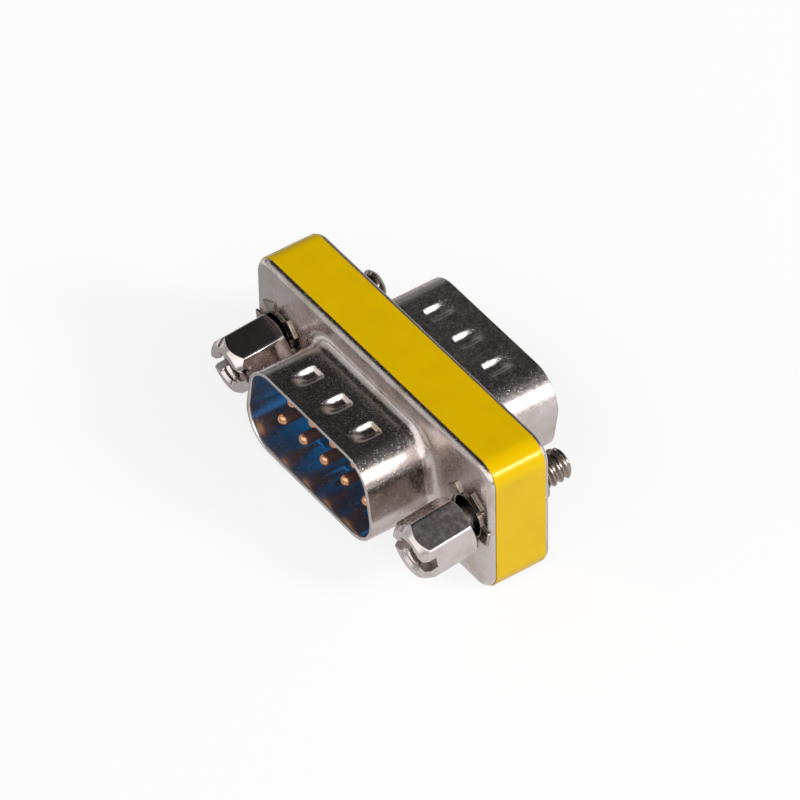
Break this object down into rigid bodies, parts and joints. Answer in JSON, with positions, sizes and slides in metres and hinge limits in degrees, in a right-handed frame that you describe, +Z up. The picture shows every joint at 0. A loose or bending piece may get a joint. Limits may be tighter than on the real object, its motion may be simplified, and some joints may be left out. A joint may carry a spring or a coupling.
{
  "type": "d-sub gender changer",
  "caption": "Short two-ended plug adapter: D-shaped metal plugs back to back on a flanged block with a yellow wrap label and captive hex-head jackscrews.",
  "frame": {"origin": "centre of the long flat of the label that the block rests on", "axes": "+X along the flanges, +Y from the hex-head side to the threaded side, +Z up"},
  "size_m": [0.031, 0.0174, 0.0127],
  "materials": {
    "shell_steel": "dull tin-nickel plate on drawn sheet",
    "blue_plastic": "moulded, satin",
    "yellow_film": "glossy printed film, left bare",
    "rivet_steel": "plated thin tube",
    "screw_steel": "bright nickel plate",
    "ring_steel": "plain spring steel",
    "gilt_brass": "thin gold flash over copper alloy"
  },
  "bodies": {
    "housing": {"front_shell": "shell_steel", "rear_shell": "shell_steel", "front_insulator": "blue_plastic", "rear_insulator": "blue_plastic", "label_band": "yellow_film", "rivet_right": "rivet_steel", "rivet_left": "rivet_steel", "contact_1": "gilt_brass", "contact_2": "gilt_brass", "contact_3": "gilt_brass", "contact_4": "gilt_brass", "contact_5": "gilt_brass", "contact_6": "gilt_brass", "contact_7": "gilt_brass", "contact_8": "gilt_brass", "contact_9": "gilt_brass"},
    "ring_right": {"retaining_ring_right": "ring_steel"},
    "screw_right": {"jackscrew_right": "screw_steel"},
    "ring_left": {"retaining_ring_left": "ring_steel"},
    "screw_left": {"jackscrew_left": "screw_steel"}
  },
  "joints": [
    {"name": "screw_right_float", "type": "slide", "parent": "housing", "child": "ring_right", "axis": [0, 0.9936, 0.1132], "range_m": [0, 0.00031]},
    {"name": "screw_right_turn", "type": "hinge", "parent": "ring_right", "child": "screw_right", "pos_m": [0.01249, 0.00334, 0.00673], "axis": [0, 0.9936, 0.1132], "continuous": true},
    {"name": "screw_left_float", "type": "slide", "parent": "housing", "child": "ring_left", "axis": [0, 0.9963, 0.0854], "range_m": [-0.00043, 0]},
    {"name": "screw_left_turn", "type": "hinge", "parent": "ring_left", "child": "screw_left", "pos_m": [-0.01222, 0.00373, 0.00651], "axis": [0, 0.9963, 0.0854], "continuous": true}
  ]
}
